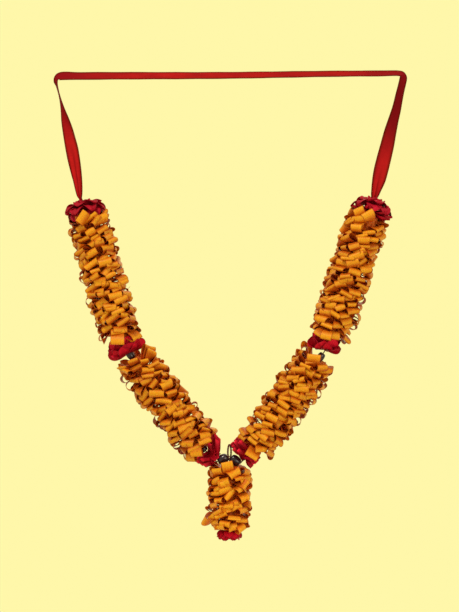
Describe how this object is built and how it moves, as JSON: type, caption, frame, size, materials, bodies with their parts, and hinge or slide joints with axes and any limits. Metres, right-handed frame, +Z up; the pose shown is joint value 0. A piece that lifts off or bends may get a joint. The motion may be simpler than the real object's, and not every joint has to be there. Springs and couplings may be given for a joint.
{
  "type": "hanging garland",
  "caption": "V-shaped hanging garland of curled wood shavings, with crimson shaving flowers, black beads and a pendant, hung by a red satin ribbon.",
  "frame": {"origin": "middle of the ribbon's top run, midway between the two pins that it hangs on", "axes": "+X to the viewer's right, +Y away from the viewer towards the wall, +Z up"},
  "size_m": [0.3535, 0.0458, 0.4712],
  "materials": {
    "red_satin": "satin weave, flat ribbon",
    "cotton_string": "matt twisted thread",
    "shaving_wood": "planed shavings, lightly stained",
    "crimson_shaving": "dyed shavings, matt",
    "black_bead": "gloss"
  },
  "bodies": {
    "root": {"ribbon": "red_satin", "string": "cotton_string", "pendant_string": "cotton_string", "left_upper_shavings": "shaving_wood", "left_lower_shavings": "shaving_wood", "right_upper_shavings": "shaving_wood", "right_lower_shavings": "shaving_wood", "pendant_shavings": "shaving_wood", "left_top_flower": "crimson_shaving", "right_top_flower": "crimson_shaving", "left_middle_flower": "crimson_shaving", "right_middle_flower": "crimson_shaving", "left_lower_flower": "crimson_shaving", "right_lower_flower": "crimson_shaving", "pendant_flower": "crimson_shaving", "left_upper_bead": "black_bead", "left_middle_bead": "black_bead", "left_lower_bead": "black_bead", "left_centre_bead": "black_bead", "right_upper_bead": "black_bead", "right_middle_bead": "black_bead", "right_lower_bead": "black_bead", "right_centre_bead": "black_bead"}
  },
  "joints": []
}
